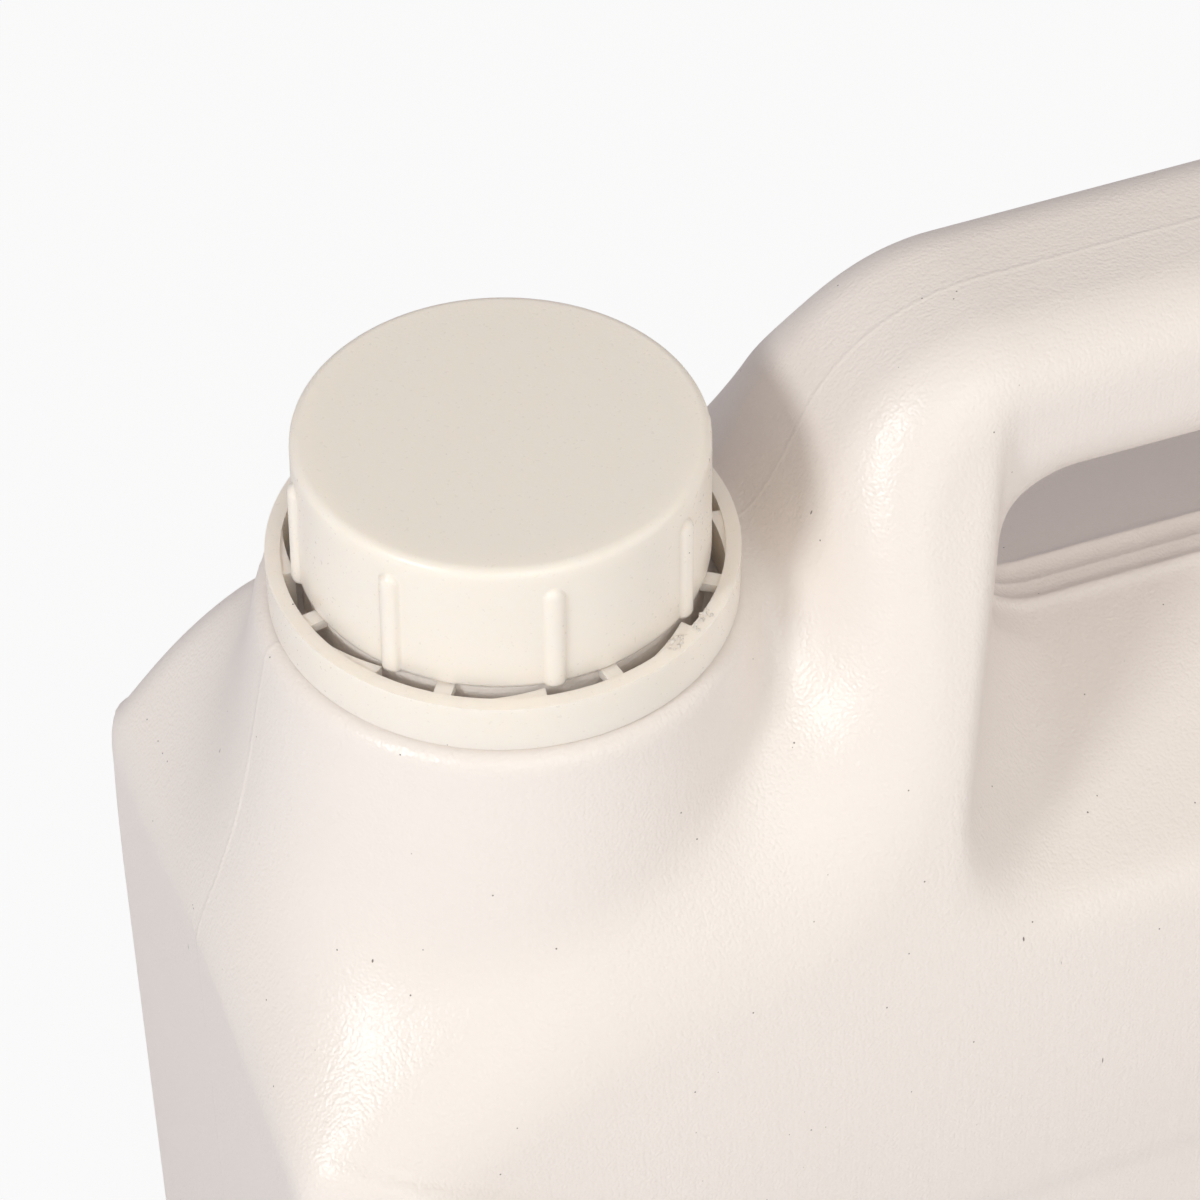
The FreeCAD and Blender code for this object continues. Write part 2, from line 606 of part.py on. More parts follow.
def build():
    model = Model()
    parts = [make_bottle(model), make_cap(model), make_liner(model), make_tamper_ring(model)]
    centre = model.size("(Sizes.right_reach - Sizes.left_reach) / 2")
    check(model.doc, parts)
    os.makedirs("parts", exist_ok=True)
    for part in parts:
        shape = part.Shape.copy()
        shape.translate(FreeCAD.Vector(-centre, 0, 0))
        shape.exportStep(f"parts/{part.Label}.step")


build()
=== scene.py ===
"""Looks of the five-litre bottle: the blown body as a smooth moulded surface, the finish
of the body and of the closure, plain studio light and the photograph's view."""
import math
import random

import bpy
import numpy as np
from mathutils import Matrix, Vector


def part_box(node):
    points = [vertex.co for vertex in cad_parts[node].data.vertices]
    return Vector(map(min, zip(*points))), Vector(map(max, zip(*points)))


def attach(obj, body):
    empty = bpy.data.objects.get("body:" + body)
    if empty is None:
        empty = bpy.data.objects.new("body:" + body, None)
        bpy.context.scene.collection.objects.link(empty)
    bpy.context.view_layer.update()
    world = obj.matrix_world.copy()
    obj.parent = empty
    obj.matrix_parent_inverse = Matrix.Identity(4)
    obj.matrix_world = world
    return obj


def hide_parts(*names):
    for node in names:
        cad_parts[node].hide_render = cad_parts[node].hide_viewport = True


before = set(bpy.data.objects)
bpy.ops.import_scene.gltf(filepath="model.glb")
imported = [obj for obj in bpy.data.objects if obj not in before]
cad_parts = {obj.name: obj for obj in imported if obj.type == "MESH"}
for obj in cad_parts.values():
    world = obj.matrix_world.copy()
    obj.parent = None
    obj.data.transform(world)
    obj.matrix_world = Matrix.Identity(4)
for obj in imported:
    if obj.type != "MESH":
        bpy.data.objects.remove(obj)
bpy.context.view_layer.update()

MM = 0.001
NECK_X = -0.0587          # the neck axis in the row frame, in metres

# The world's light from above, from below and from the front.
UP_LIGHT = (0.18, 0.145, 0.14)
DOWN_LIGHT = (0.50, 0.50, 0.62)
FRONT_LIGHT = (0.52, 0.515, 0.43)

# ---------------------------------------------------------------- the body's form
# Lengths in millimetres; x from the neck axis, z from the base.

LEFT_END = -44.6
RIGHT_END = 162.0
HALF_WIDTH = 51.0
PLATFORM = 263.3          # top of the body under the neck hub
HANDLE_TOP = 299.6
LEAN_FOOT = 185.0         # where the flanks start to lean in
LEAN_RADIUS = 169.55
FIELD_FACE = 50.4         # half width over the label field
HUB_TOP = 269.0
HUB_RADIUS = 31.7         # at its top
HUB_SLOPE = 0.185         # sideways for each millimetre down
SHOULDER_SLOPE = math.radians(58)
BAR_HALF = 17.0           # half width of the handle
EYE_LEFT, EYE_RIGHT = 64.9, 136.0
EYE_TOP = 273.0
WEB_TOP = 242.4           # the web's highest line under the handle
SCOOP_SPLAY = 0.56        # how fast a scoop's ends spread outwards
SCOOP_FALL = 0.34         # how fast a scoop's floor falls outwards

# The cap, in the same lengths; angles in degrees.

CAP_RADIUS = 26.0         # of the skirt, just under the rim
RIM_ROUND = 1.3
RIBS = 8
RIB_OFFSET = 6.3          # from a rib to the +X axis
RIB_SPAN = 6.8            # the angle that is cut finely for a rib
RIB_GAP = 38.2            # the angle from one such stretch to the next


def smooth_min(a, b, k):
    h = np.maximum(k - np.abs(a - b), 0.0) / k
    return np.minimum(a, b) - h * h * h * k / 6.0


def smooth_max(a, b, k):
    return -smooth_min(-a, -b, k)


def corner(u, v, r):
    """The meeting of two half-spaces, with a round of radius r."""
    u = u + r
    v = v + r
    return np.hypot(np.maximum(u, 0), np.maximum(v, 0)) + np.minimum(np.maximum(u, v), 0) - r


def fillet(u, v, r):
    """The union of two half-spaces, with a hollow round of radius r between them."""
    return -corner(-u, -v, r)


def step(t):
    """0 below zero, 1 above one, smooth between."""
    t = np.clip(t, 0.0, 1.0)
    return t * t * (3 - 2 * t)


def field_top(x):
    """Height of the label field's top edge: high at the left end, level at the right."""
    return 177.3 + 44.0 / (1 + np.exp((x + 4.5) / 13.0))


def arc_lean(z):
    """How far the flank's arc has come in at height z."""
    rise = np.clip(z - LEAN_FOOT, 0, 150.0)
    return LEAN_RADIUS - np.sqrt(LEAN_RADIUS ** 2 - rise ** 2)


def flank(x, y, z):
    """Upright below, then one long arc that leans in; the label field stays upright."""
    ay = np.abs(y)
    leaning = np.hypot(ay + 118.55, z - LEAN_FOOT) - LEAN_RADIUS
    arc = np.where(z > LEAN_FOOT, leaning, ay - HALF_WIDTH)
    width = 2.2 + 4.0 * step(x / 40.0)
    above = step((z - field_top(x)) / width + 0.5)
    face = FIELD_FACE - 2.2 * step((-30.0 - x) / 14.0)
    field = ay - np.maximum(face, FIELD_FACE - arc_lean(z))
    return field * (1 - above) + arc * above


def drum(x, y, z):
    """Distance outside the tapered side of the neck's hub."""
    radius = HUB_RADIUS + (HUB_TOP - z) * HUB_SLOPE
    return (np.hypot(x, y) - radius) / math.hypot(1, HUB_SLOPE)


def shelf(x, y, z):
    """The ledge at the hub's foot: it falls to the left, and outwards."""
    level = smooth_max(242.0 + 0.4526 * x, np.full_like(x, 234.5), 8.0)
    behind = np.where(y < 0, 0.0, 20.0 * step((6.0 - x) / 32.0))
    rise = behind + 9.0 * step((24.0 - np.abs(y)) / 20.0) * step((x - 2.0) / 24.0)
    return 0.72 * (z - level - rise + 0.95 * np.maximum(drum(x, y, z), 0))


def outline(x, y, z):
    """Seen from the front: shoulder, platform under the hub, and the handle's back."""
    inward, upward = x - LEFT_END, z - 218.7
    shoulder = -inward * math.sin(SHOULDER_SLOPE) + upward * math.cos(SHOULDER_SLOPE)
    low = corner(z - PLATFORM, corner(shoulder, LEFT_END - x, 2.5), 14.0)
    low = smooth_max(low, shelf(x, y, z), 8.0)
    over = z - (HANDLE_TOP + 1.1 * np.clip((x - 60.0) / 60.0, 0, 1))
    high = corner(39.0 - x, over, 25.0)
    return corner(fillet(low, high, 22.0), x - RIGHT_END, 28.0)


def hull(x, y, z):
    """Everything but the hub and the eye with its scoops."""
    side = smooth_min(flank(x, y, z), np.abs(y) - BAR_HALF, 10.0)
    edge = 7.5 + 2.5 * step((x + 20.0) / 35.0)
    return corner(corner(outline(x, y, z), side, edge), -z, 7.0)


def hub(x, y, z):
    """The neck's tapered hub; it fades out on its way down inside the body."""
    side = drum(x, y, z) + 0.012 * np.maximum(226.0 - z, 0) ** 2
    return corner(side, z - HUB_TOP, 2.2)


def grip(x, y, z):
    """The handle's bar with its bends, round-edged underneath."""
    hole = corner(np.maximum(EYE_LEFT - x, x - EYE_RIGHT), z - EYE_TOP, 9.0)
    reach = np.maximum(np.maximum(48.0 - x, x - 154.0), 246.0 - z)
    return np.maximum(corner(-hole, np.abs(y) - BAR_HALF, 12.0), reach)


def scoop(x, y, z):
    """What is taken away under the handle on both faces; negative inside."""
    ay = np.abs(y)
    out = np.maximum(ay - 9.5, 0.0)
    left = (65.3 - SCOOP_SPLAY * out - x) / math.hypot(1, SCOOP_SPLAY)
    right = (x - EYE_RIGHT - SCOOP_SPLAY * out) / math.hypot(1, SCOOP_SPLAY)
    fall = SCOOP_FALL * np.maximum(ay - 4.2, 0.0)
    lip = 0.8 * np.exp(-((ay - 3.7) / 0.9) ** 2) + 0.4 * np.exp(-(y / 0.6) ** 2)
    floor = (WEB_TOP - fall - z + lip) / math.hypot(1, SCOOP_FALL)
    return corner(np.maximum(left, right), floor, 10.0 + 5.0 * np.clip(out / 30.0, 0, 1))


def body(x, y, z):
    """Signed distance to the outside of the blown body."""
    foot = 6.0 + 8.0 * step((-16.0 - x) / 16.0)
    shape = smooth_min(hull(x, y, z), hub(x, y, z), foot)
    cut = smooth_max(scoop(x, y, z), -grip(x, y, z), 4.0)
    rim = 2.5 + 4.0 * step((244.0 - z) / 14.0)
    shape = smooth_max(shape, -cut, rim)
    return np.maximum(shape, np.maximum(x - RIGHT_END, LEFT_END - x))


# ---------------------------------------------------------------- from form to mesh


def spacing(*stretches):
    """Grid lines: (start, end, pitch) stretches that follow one another."""
    lines = []
    for start, end, pitch in stretches:
        count = max(1, round((end - start) / pitch))
        lines.extend(start + (end - start) * i / count for i in range(count))
    lines.append(stretches[-1][1])
    return np.array(lines, dtype=np.float64)


def slope_at(form, p):
    """The form's gradient at each point of p, by differences over 0.1 mm."""
    e = 0.05
    g = np.empty_like(p)
    for i in range(3):
        shift = np.zeros(3)
        shift[i] = e
        a = p + shift
        b = p - shift
        g[:, i] = form(a[:, 0], a[:, 1], a[:, 2]) - form(b[:, 0], b[:, 1], b[:, 2])
    return g / (2 * e)


def neighbours(field, axis):
    """The field without its last and without its first layer along an axis."""
    lo = [slice(None)] * 3
    hi = [slice(None)] * 3
    lo[axis] = slice(0, field.shape[axis] - 1)
    hi[axis] = slice(1, field.shape[axis])
    return field[tuple(lo)], field[tuple(hi)]


def net(form, xs, ys, zs):
    """Surface net: one vertex in each cell that the surface crosses, moved onto it."""
    X, Y, Z = np.meshgrid(xs, ys, zs, indexing="ij")
    f = form(X, Y, Z)
    inside = f < 0
    cells = tuple(n - 1 for n in f.shape)
    count = np.zeros(cells, dtype=np.int16)
    total = np.zeros(cells + (3,))
    lines = (xs, ys, zs)
    for axis in range(3):
        a, b = neighbours(f, axis)
        cross = (a < 0) != (b < 0)
        i, j, k = np.nonzero(cross)
        fa, fb = a[i, j, k], b[i, j, k]
        t = fa / (fa - fb)
        at = [xs[i].copy(), ys[j].copy(), zs[k].copy()]
        index = (i, j, k)[axis]
        at[axis] = lines[axis][index] + t * (lines[axis][index + 1] - lines[axis][index])
        point = np.stack(at, 1)
        others = [d for d in range(3) if d != axis]
        for du in (0, 1):
            for dv in (0, 1):
                c = [i.copy(), j.copy(), k.copy()]
                c[others[0]] = c[others[0]] - du
                c[others[1]] = c[others[1]] - dv
                ok = np.ones(len(i), dtype=bool)
                for d in range(3):
                    ok &= (c[d] >= 0) & (c[d] < cells[d])
                where = (c[0][ok], c[1][ok], c[2][ok])
                np.add.at(count, where, 1)
                np.add.at(total, where, point[ok])
    used = count > 0
    number = np.full(cells, -1, dtype=np.int64)
    number[used] = np.arange(int(used.sum()))
    verts = total[used] / count[used][:, None]
    for _ in range(3):
        g = slope_at(form, verts)
        d = form(verts[:, 0], verts[:, 1], verts[:, 2])
        move = g * (d / np.maximum((g * g).sum(1), 0.05))[:, None]
        verts -= np.clip(move, -1.0, 1.0)
    faces = []
    for axis in range(3):
        u, v = [(1, 2), (2, 0), (0, 1)][axis]
        a, b = neighbours(inside, axis)
        for flip, chosen in ((False, a & ~b), (True, ~a & b)):
            idx = np.nonzero(chosen)
            ok = (idx[u] > 0) & (idx[v] > 0)
            ok &= (idx[u] < f.shape[u] - 1) & (idx[v] < f.shape[v] - 1)
            idx = [d[ok] for d in idx]
            quad = []
            for du, dv in ((1, 1), (0, 1), (0, 0), (1, 0)):
                c = [d.copy() for d in idx]
                c[u] = c[u] - du
                c[v] = c[v] - dv
                quad.append(number[c[0], c[1], c[2]])
            quad = np.stack(quad, 1)
            faces.append(quad[:, ::-1] if flip else quad)
    return verts, np.concatenate(faces)


def to_row(points):
    """Millimetres from the neck axis to metres in the row frame."""
    out = np.asarray(points, dtype=np.float64) * MM
    out[..., 0] += NECK_X
    return out


def mesh_object(name, verts, faces, smooth=True):
    """A new object in the scene; verts in metres."""
    mesh = bpy.data.meshes.new(name)
    mesh.from_pydata([tuple(v) for v in verts], [], [tuple(int(i) for i in f) for f in faces])
    mesh.update()
    if smooth:
        mesh.shade_smooth()
    obj = bpy.data.objects.new(name, mesh)
    bpy.context.scene.collection.objects.link(obj)
    return obj


def lathe(profile, turns=128):
    """A surface of revolution about the neck axis; profile is a closed ring of (r, z)."""
    verts, faces = [], []
    n = len(profile)
    for i in range(turns):
        a = 2 * math.pi * i / turns
        verts.extend((r * math.cos(a), r * math.sin(a), z) for r, z in profile)
    for i in range(turns):
        j = (i + 1) % turns
        for k in range(n):
            m = (k + 1) % n
            faces.append((i * n + k, i * n + m, j * n + m, j * n + k))
    return verts, faces


def make_body():
    """The blown body with its hub, handle and scoops, as one closed outside."""
    fine = 1.25
    xs = spacing((-47.5, 80.0, fine), (80.0, 165.0, fine * 1.5))
    thin = 0.7
    ys = spacing((-54.0, -7.0, fine), (-7.0, 7.0, thin), (7.0, 54.0, fine))
    zs = spacing((-3.0, 12.0, 1.9), (12.0, 172.0, 8.0),
                 (172.0, 238.0, fine), (238.0, 246.0, thin), (246.0, 303.0, fine))
    verts, faces = net(body, xs, ys, zs)
    obj = mesh_object("blown_body", to_row(verts), faces)
    obj.data.materials.append(body_plastic())
    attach(obj, "bottle")
    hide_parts("bottle_body")


def make_neck():
    """Neck tube with its rim bead and the ratchet collar under the tamper ring."""
    profile = [(18.5, 240.0), (18.5, 290.9), (18.9, 291.3), (20.8, 291.3), (21.2, 290.9),
               (21.2, 278.0), (21.4, 276.0), (21.9, 275.6), (24.9, 275.6), (25.5, 275.3),
               (25.6, 274.7), (25.6, 266.0), (21.0, 262.0), (19.7, 255.0), (19.7, 240.0)]
    verts, faces = lathe(profile)
    obj = mesh_object("neck_finish", to_row(verts), faces, smooth=False)
    obj.data.materials.append(body_plastic())
    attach(obj, "bottle")


def rib_bump(angle, z, top, foot):
    """How far the grip ribs stand out of the cap's skirt."""
    turn = (np.degrees(angle) + RIB_OFFSET + 22.5) % 45.0 - 22.5
    across = np.radians(turn) * 26.2 / 1.3
    end = np.clip((z - (top - 4.7)) / 1.3, 0, 1)
    inside = np.clip(1 - across ** 2 - end ** 2, 0, 1)
    return np.where(z > foot + 0.01, 0.86 * np.sqrt(inside), 0.0)


def make_cap():
    """The screw cap with its rounded rim, rounded ribs and inner thread."""
    low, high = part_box("screw_cap")
    foot, top = low[2] / MM, high[2] / MM
    bore, plate, pitch = 23.6, top - 2.2, 5.0
    flare = math.tan(math.radians(0.9))
    profile = [(0.02, top), (8, top), (16, top), (22, top), (24.2, top), (24.6, top)]
    for i in range(9):
        a = math.radians(90 - 11.0 * i)
        profile.append((24.7 + RIM_ROUND * math.cos(a),
                        top - RIM_ROUND + RIM_ROUND * math.sin(a)))
    stages = [1.9, 2.5, 3.0, 3.3, 3.5, 3.7, 3.9, 4.1, 4.4, 4.7, 5.0, 7.0, 9.5, 12.0, 14.5]
    profile += [(CAP_RADIUS + d * flare, top - d) for d in stages]
    edge = CAP_RADIUS + (top - foot) * flare
    profile += [(edge, foot + 0.5), (edge - 0.05, foot + 0.15), (edge - 0.25, foot),
                (bore + 0.3, foot), (bore, foot + 0.3)]
    rows = 34
    profile += [(bore, foot + 0.3 + (plate - foot - 0.6) * i / rows)
                for i in range(1, rows + 1)]
    profile += [(bore - 0.4, plate), (12, plate), (0.02, plate)]
    angles = []
    for i in range(RIBS):
        start = math.radians(45 * i - RIB_OFFSET - 3.4)
        angles += [start + math.radians(RIB_SPAN) * j / 18 for j in range(18)]
        angles += [start + math.radians(RIB_SPAN + RIB_GAP * j / 14) for j in range(14)]
    ring = np.array(profile)
    verts = []
    # Rows of the profile: the skirt's outside ends where the rounded foot starts.
    outer = len(profile) - rows - 6
    for a in angles:
        r = ring[:, 0].copy()
        z = ring[:, 1]
        skirt = slice(13, outer)
        r[skirt] += rib_bump(a, z[skirt], top, foot)
        wall = slice(outer + 2, outer + 2 + rows)
        wave = np.cos(2 * math.pi * ((z[wall] - foot) / pitch - a / (2 * math.pi)))
        fade = step((z[wall] - foot - 1.0) / 1.5) * step((plate - 1.5 - z[wall]) / 1.5)
        r[wall] -= 1.0 * step(wave * 1.6 - 0.6) * fade
        verts += [(x * math.cos(a), x * math.sin(a), h) for x, h in zip(r, z)]
    n, m = len(profile), len(angles)
    faces = []
    for i in range(m):
        j = (i + 1) % m
        faces += [(i * n + k, i * n + k + 1, j * n + k + 1, j * n + k) for k in range(n - 1)]
    faces.append(tuple(i * n for i in range(m)))
    faces.append(tuple(i * n + n - 1 for i in reversed(range(m))))
    obj = mesh_object("cap_shell", to_row(verts), faces)
    obj.data.materials.append(cap_plastic())
    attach(obj, "cap")
    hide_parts("screw_cap")


def make_flash():
    """Torn slivers left on the ring where the cap broke away, at the front right."""
    chance = random.Random(7)
    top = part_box("tamper_ring")[1][2] / MM
    verts, faces = [], []
    for _ in range(26):
        a = math.radians(chance.uniform(-65, -47))
        r = chance.uniform(27.9, 29.4)
        size = chance.uniform(0.25, 0.75)
        middle = np.array((r * math.cos(a), r * math.sin(a), top - size * 0.15))
        start = len(verts)
        spin = chance.uniform(0, 6.28)
        for i in range(5):
            t = spin + 2 * math.pi * i / 5
            reach = size * chance.uniform(0.6, 1.5)
            verts.append(middle + (reach * math.cos(t), reach * math.sin(t),
                                   chance.uniform(-0.3, 0.1) * size))
        verts.append(middle + (chance.uniform(-0.4, 0.4) * size, 0, 0.45 * size))
        verts.append(middle - (0, 0, 0.8 * size))
        for i in range(5):
            j = (i + 1) % 5
            faces.append((start + i, start + j, start + 5))
            faces.append((start + j, start + i, start + 6))
    obj = mesh_object("ring_flash", to_row(verts), faces, smooth=False)
    obj.data.materials.append(cap_plastic())
    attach(obj, "bottle")


# ---------------------------------------------------------------- materials


def fresh_material(name):
    """The material of this name, with its empty tree if it is new."""
    mat = bpy.data.materials.get(name)
    if mat:
        return mat, None
    mat = bpy.data.materials.new(name)
    mat.use_nodes = True
    mat.node_tree.nodes.clear()
    return mat, mat.node_tree


class Nodes:
    """Short ways to add and join shader nodes."""

    def __init__(self, tree):
        self.tree = tree

    def add(self, kind, **settings):
        node = self.tree.nodes.new(kind)
        for key, value in settings.items():
            if hasattr(node, key):
                setattr(node, key, value)
            else:
                node.inputs[key.replace("_", " ")].default_value = value
        return node

    def link(self, a, out, b, into):
        self.tree.links.new(a.outputs[out], b.inputs[into])


def specks(n, place, scale, size, share, squeeze, turn):
    """A mask of scattered specks; squeeze below 1 draws them out into fibres."""
    lay = n.add("ShaderNodeMapping")
    lay.inputs["Rotation"].default_value = turn
    lay.inputs["Scale"].default_value = (1, 1, squeeze)
    n.link(place, "Object", lay, "Vector")
    cells = n.add("ShaderNodeTexVoronoi", Scale=scale)
    n.link(lay, "Vector", cells, "Vector")
    small = n.add("ShaderNodeMapRange")
    small.inputs["From Min"].default_value = size
    small.inputs["From Max"].default_value = size * 0.6
    n.link(cells, "Distance", small, "Value")
    pick = n.add("ShaderNodeSeparateColor")
    n.link(cells, "Color", pick, "Color")
    rare = n.add("ShaderNodeMath", operation="LESS_THAN")
    rare.inputs[1].default_value = share
    n.link(pick, "Red", rare, 0)
    mask = n.add("ShaderNodeMath", operation="MULTIPLY")
    n.link(small, "Result", mask, 0)
    n.link(rare, 0, mask, 1)
    return mask


def parting_line(n, place, relief):
    """Adds the fine ridge where the mould's halves met, in the plane y = 0."""
    split = n.add("ShaderNodeSeparateXYZ")
    n.link(place, "Object", split, "Vector")
    off = n.add("ShaderNodeMath", operation="ABSOLUTE")
    n.link(split, "Y", off, 0)
    ridge = n.add("ShaderNodeMapRange", interpolation_type="SMOOTHSTEP")
    ridge.inputs["From Min"].default_value = 0.0006
    ridge.inputs["From Max"].default_value = 0.0
    ridge.inputs["To Max"].default_value = 0.9
    n.link(off, 0, ridge, "Value")
    total = n.add("ShaderNodeMath", operation="ADD")
    n.link(relief, 0, total, 0)
    n.link(ridge, "Result", total, 1)
    return total


def plastic(name, base, shade, roughness, grain, lines, dirt, milky=0.0, parted=False):
    """Moulded polyethylene: uneven tone, orange peel, die lines, specks and fibres."""
    mat, tree = fresh_material(name)
    if tree is None:
        return mat
    n = Nodes(tree)
    out = n.add("ShaderNodeOutputMaterial")
    shader = n.add("ShaderNodeBsdfPrincipled")
    n.link(shader, "BSDF", out, "Surface")
    place = n.add("ShaderNodeTexCoord")
    cloud = n.add("ShaderNodeTexNoise", Scale=18.0, Detail=2.0)
    n.link(place, "Object", cloud, "Vector")
    tone = n.add("ShaderNodeMix", data_type="RGBA")
    tone.inputs["A"].default_value = (*base, 1)
    tone.inputs["B"].default_value = (*shade, 1)
    n.link(cloud, "Fac", tone, "Factor")
    last = tone
    for scale, size, share, squeeze, turn in (
            (330.0, 0.048, 0.42 * dirt, 1.0, (0, 0, 0)),
            (255.0, 0.040, 0.50 * dirt, 0.18, (0.7, 0.5, 0.2))):
        mask = specks(n, place, scale, size, share, squeeze, turn)
        dark = n.add("ShaderNodeMix", data_type="RGBA")
        dark.inputs["B"].default_value = (0.20, 0.165, 0.15, 1)
        n.link(mask, 0, dark, "Factor")
        n.link(last, "Result", dark, "A")
        last = dark
    n.link(last, "Result", shader, "Base Color")
    fine = n.add("ShaderNodeTexNoise", Scale=2300.0, Detail=0.0)
    n.link(place, "Object", fine, "Vector")
    rough = n.add("ShaderNodeMapRange")
    rough.inputs["To Min"].default_value = roughness - 0.05
    rough.inputs["To Max"].default_value = roughness + 0.06
    n.link(fine, "Fac", rough, "Value")
    n.link(rough, "Result", shader, "Roughness")
    drawn = n.add("ShaderNodeMapping")
    drawn.inputs["Scale"].default_value = (1, 1, 0.03)
    n.link(place, "Object", drawn, "Vector")
    die = n.add("ShaderNodeTexNoise", Scale=1500.0, Detail=1.0)
    n.link(drawn, "Vector", die, "Vector")
    peel = n.add("ShaderNodeTexNoise", Scale=420.0, Detail=1.0)
    n.link(place, "Object", peel, "Vector")
    streak = n.add("ShaderNodeMath", operation="MULTIPLY_ADD")
    streak.inputs[1].default_value = lines
    n.link(die, "Fac", streak, 0)
    n.link(fine, "Fac", streak, 2)
    relief = n.add("ShaderNodeMath", operation="MULTIPLY_ADD")
    relief.inputs[1].default_value = 0.8
    n.link(peel, "Fac", relief, 0)
    n.link(streak, 0, relief, 2)
    if parted:
        relief = parting_line(n, place, relief)
    bump = n.add("ShaderNodeBump", Strength=grain, Distance=0.00012)
    n.link(relief, 0, bump, "Height")
    n.link(bump, "Normal", shader, "Normal")
    shader.inputs["IOR"].default_value = 1.5
    shader.inputs["Subsurface Weight"].default_value = milky
    shader.inputs["Subsurface Radius"].default_value = (1.0, 0.8, 0.6)
    shader.inputs["Subsurface Scale"].default_value = 0.004
    return mat


def body_plastic():
    return plastic("body_plastic_finish", (0.865, 0.805, 0.765), (0.845, 0.78, 0.735),
                   0.34, 0.55, 0.9, 1.0, parted=True)


def cap_plastic():
    return plastic("cap_plastic_finish", (0.935, 0.858, 0.776), (0.915, 0.833, 0.746),
                   0.30, 0.10, 0.2, 0.35, milky=0.35)


def liner_foam():
    return plastic("liner_foam_finish", (0.80, 0.80, 0.78), (0.76, 0.76, 0.74),
                   0.7, 1.0, 0.0, 0.0)


def dress_closure():
    """The ring and the liner keep their CAD shapes and get the finishes made here."""
    for name, mat in (("tamper_ring", cap_plastic()), ("cap_liner", liner_foam())):
        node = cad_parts[name]
        if node.data.materials:
            for i in range(len(node.data.materials)):
                node.data.materials[i] = mat
        else:
            node.data.materials.append(mat)


# ---------------------------------------------------------------- light and camera


def area_light(name, place, aim, size, power, colour=(1, 1, 1)):
    data = bpy.data.lights.new(name, "AREA")
    data.shape = "DISK"
    data.size = size
    data.energy = power
    data.color = colour
    obj = bpy.data.objects.new(name, data)
    obj.location = place
    obj.rotation_euler = (Vector(aim) - Vector(place)).to_track_quat("-Z", "Y").to_euler()
    bpy.context.scene.collection.objects.link(obj)


def tinted_world():
    """Soft light from all round: cooler below, warmer from the front; white to the camera."""
    world = bpy.data.worlds.new("studio")
    bpy.context.scene.world = world
    world.use_nodes = True
    tree = world.node_tree
    tree.nodes.clear()
    n = Nodes(tree)
    out = n.add("ShaderNodeOutputWorld")
    path = n.add("ShaderNodeLightPath")
    place = n.add("ShaderNodeTexCoord")
    total = None
    for axis, colour in (((0, 0, 1), UP_LIGHT), ((0, 0, -1), DOWN_LIGHT),
                         ((0, -1, 0), FRONT_LIGHT)):
        dot = n.add("ShaderNodeVectorMath", operation="DOT_PRODUCT")
        n.link(place, "Generated", dot, 0)
        dot.inputs[1].default_value = axis
        part = n.add("ShaderNodeMath", operation="MULTIPLY_ADD", use_clamp=True)
        part.inputs[1].default_value = 0.5
        part.inputs[2].default_value = 0.5
        n.link(dot, "Value", part, 0)
        tint = n.add("ShaderNodeVectorMath", operation="SCALE")
        tint.inputs[0].default_value = colour
        n.link(part, 0, tint, "Scale")
        if total is None:
            total = tint
        else:
            plus = n.add("ShaderNodeVectorMath", operation="ADD")
            n.link(total, 0, plus, 0)
            n.link(tint, 0, plus, 1)
            total = plus
    soft = n.add("ShaderNodeBackground", Strength=1.0)
    n.link(total, 0, soft, "Color")
    seen = n.add("ShaderNodeBackground", Color=(1, 1, 1, 1), Strength=1.0)
    mix = n.add("ShaderNodeMixShader")
    shown = n.add("ShaderNodeMath", operation="MAXIMUM")
    n.link(path, "Is Camera Ray", shown, 0)
    n.link(path, "Is Transmission Ray", shown, 1)
    n.link(shown, 0, mix, 0)
    n.link(soft, "Background", mix, 1)
    n.link(seen, "Background", mix, 2)
    n.link(mix, "Shader", out, "Surface")


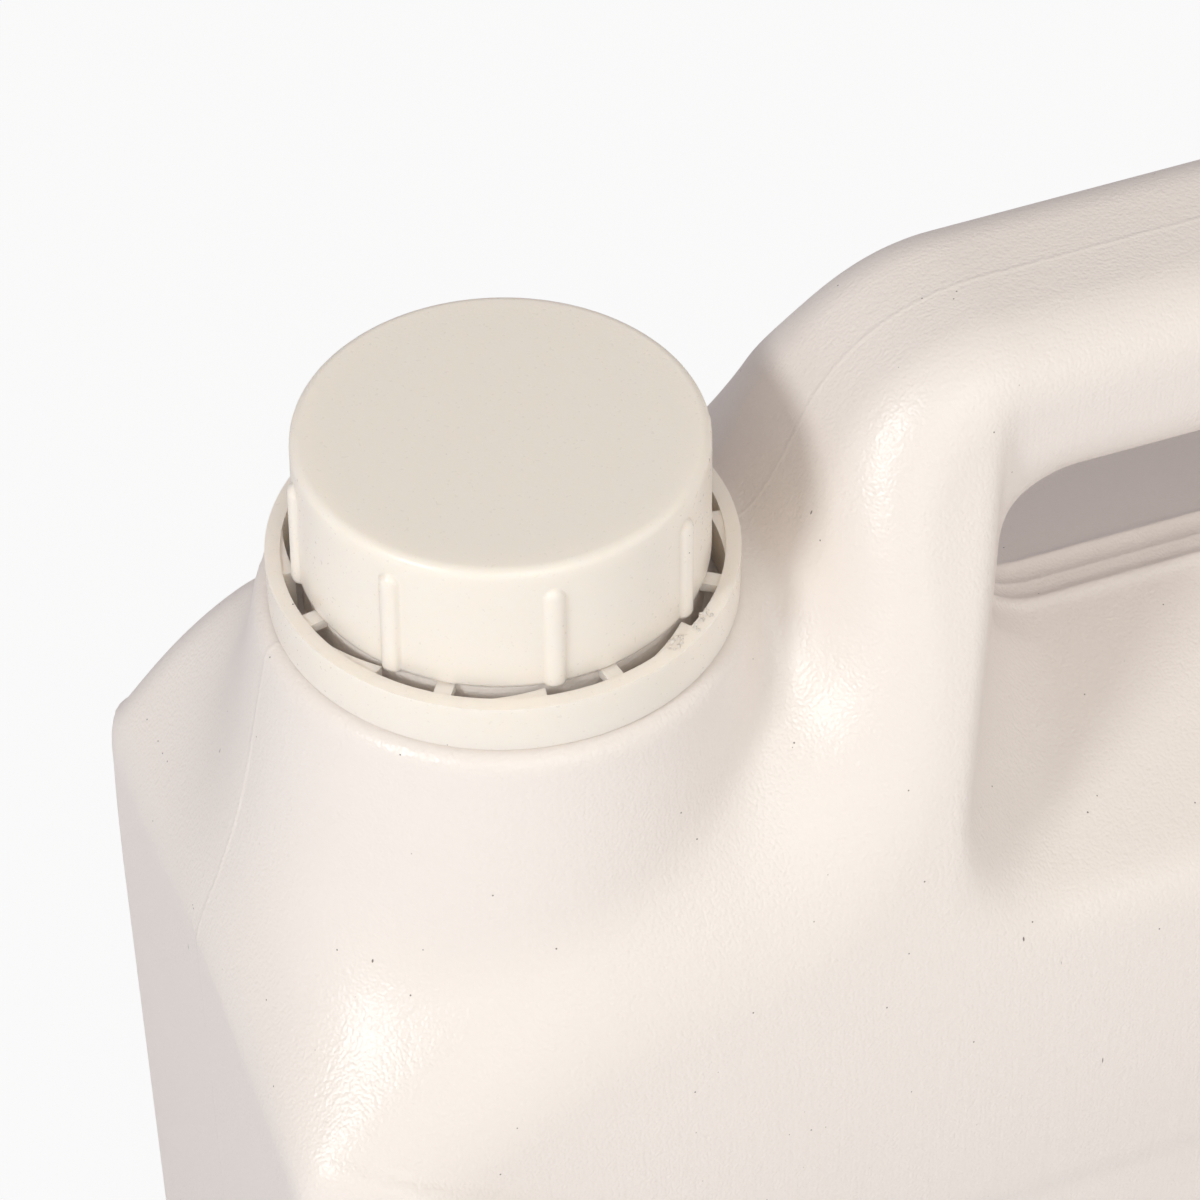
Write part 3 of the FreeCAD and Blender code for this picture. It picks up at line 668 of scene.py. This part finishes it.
def make_light():
    target = Vector((NECK_X + 0.03, 0.0, 0.26))

    def at(azimuth, height, distance):
        a, h = math.radians(azimuth), math.radians(height)
        return target + distance * Vector((math.cos(h) * math.cos(a),
                                           math.cos(h) * math.sin(a), math.sin(h)))

    area_light("key", at(205, 32, 1.2), target, 0.28, 5.2, (0.97, 1.0, 1.0))
    area_light("fill_front", at(265, 36, 1.3), target, 0.8, 3.1, (0.96, 0.99, 1.0))
    area_light("fill_right", at(335, 30, 1.4), target, 0.9, 1.3, (1.0, 0.98, 0.92))
    area_light("fill_back", at(60, 50, 1.4), target, 0.9, 0.9)
    tinted_world()


def make_floor():
    """A plain white floor; to the camera it is white with a faint shadow."""
    side = 3.0
    obj = mesh_object("floor", [(-side, -side, 0), (side, -side, 0), (side, side, 0),
                                (-side, side, 0)], [(0, 1, 2, 3)], smooth=False)
    mat, tree = fresh_material("white_floor")
    n = Nodes(tree)
    out = n.add("ShaderNodeOutputMaterial")
    paint = n.add("ShaderNodeBsdfDiffuse", Color=(0.80, 0.80, 0.84, 1))
    white = n.add("ShaderNodeEmission", Color=(1, 1, 1, 1), Strength=1.0)
    path = n.add("ShaderNodeLightPath")
    share = n.add("ShaderNodeMath", operation="MULTIPLY")
    share.inputs[1].default_value = 0.9
    n.link(path, "Is Camera Ray", share, 0)
    mix = n.add("ShaderNodeMixShader")
    n.link(share, 0, mix, 0)
    n.link(paint, "BSDF", mix, 1)
    n.link(white, "Emission", mix, 2)
    n.link(mix, "Shader", out, "Surface")
    obj.data.materials.append(mat)


def make_camera():
    """The photograph's view: from the front, a little to the left, and from above."""
    turn, pitch = math.radians(21.3), math.radians(43.87)
    focal, distance = 3885 / 1200, 0.4765
    ahead = Vector((math.cos(pitch) * math.sin(turn), math.cos(pitch) * math.cos(turn),
                    -math.sin(pitch)))
    right = Vector((math.cos(turn), -math.sin(turn), 0))
    up = right.cross(ahead)
    cap_top = Vector((NECK_X, 0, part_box("screw_cap")[1][2]))
    across, above = -0.083 / focal * distance, 0.1433 / focal * distance
    place = cap_top - right * across - up * above - ahead * distance
    data = bpy.data.cameras.new("camera")
    data.sensor_width = 36
    data.lens = 36 * focal
    data.clip_start = 0.01
    data.clip_end = 50
    camera = bpy.data.objects.new("camera", data)
    turned = Matrix((right, up, -ahead)).transposed().to_4x4()
    camera.matrix_world = Matrix.Translation(place) @ turned
    bpy.context.scene.collection.objects.link(camera)
    bpy.context.scene.camera = camera


bpy.context.scene.view_settings.view_transform = "Standard"
make_camera()
make_body()
make_neck()
make_cap()
make_flash()
dress_closure()
make_floor()
make_light()
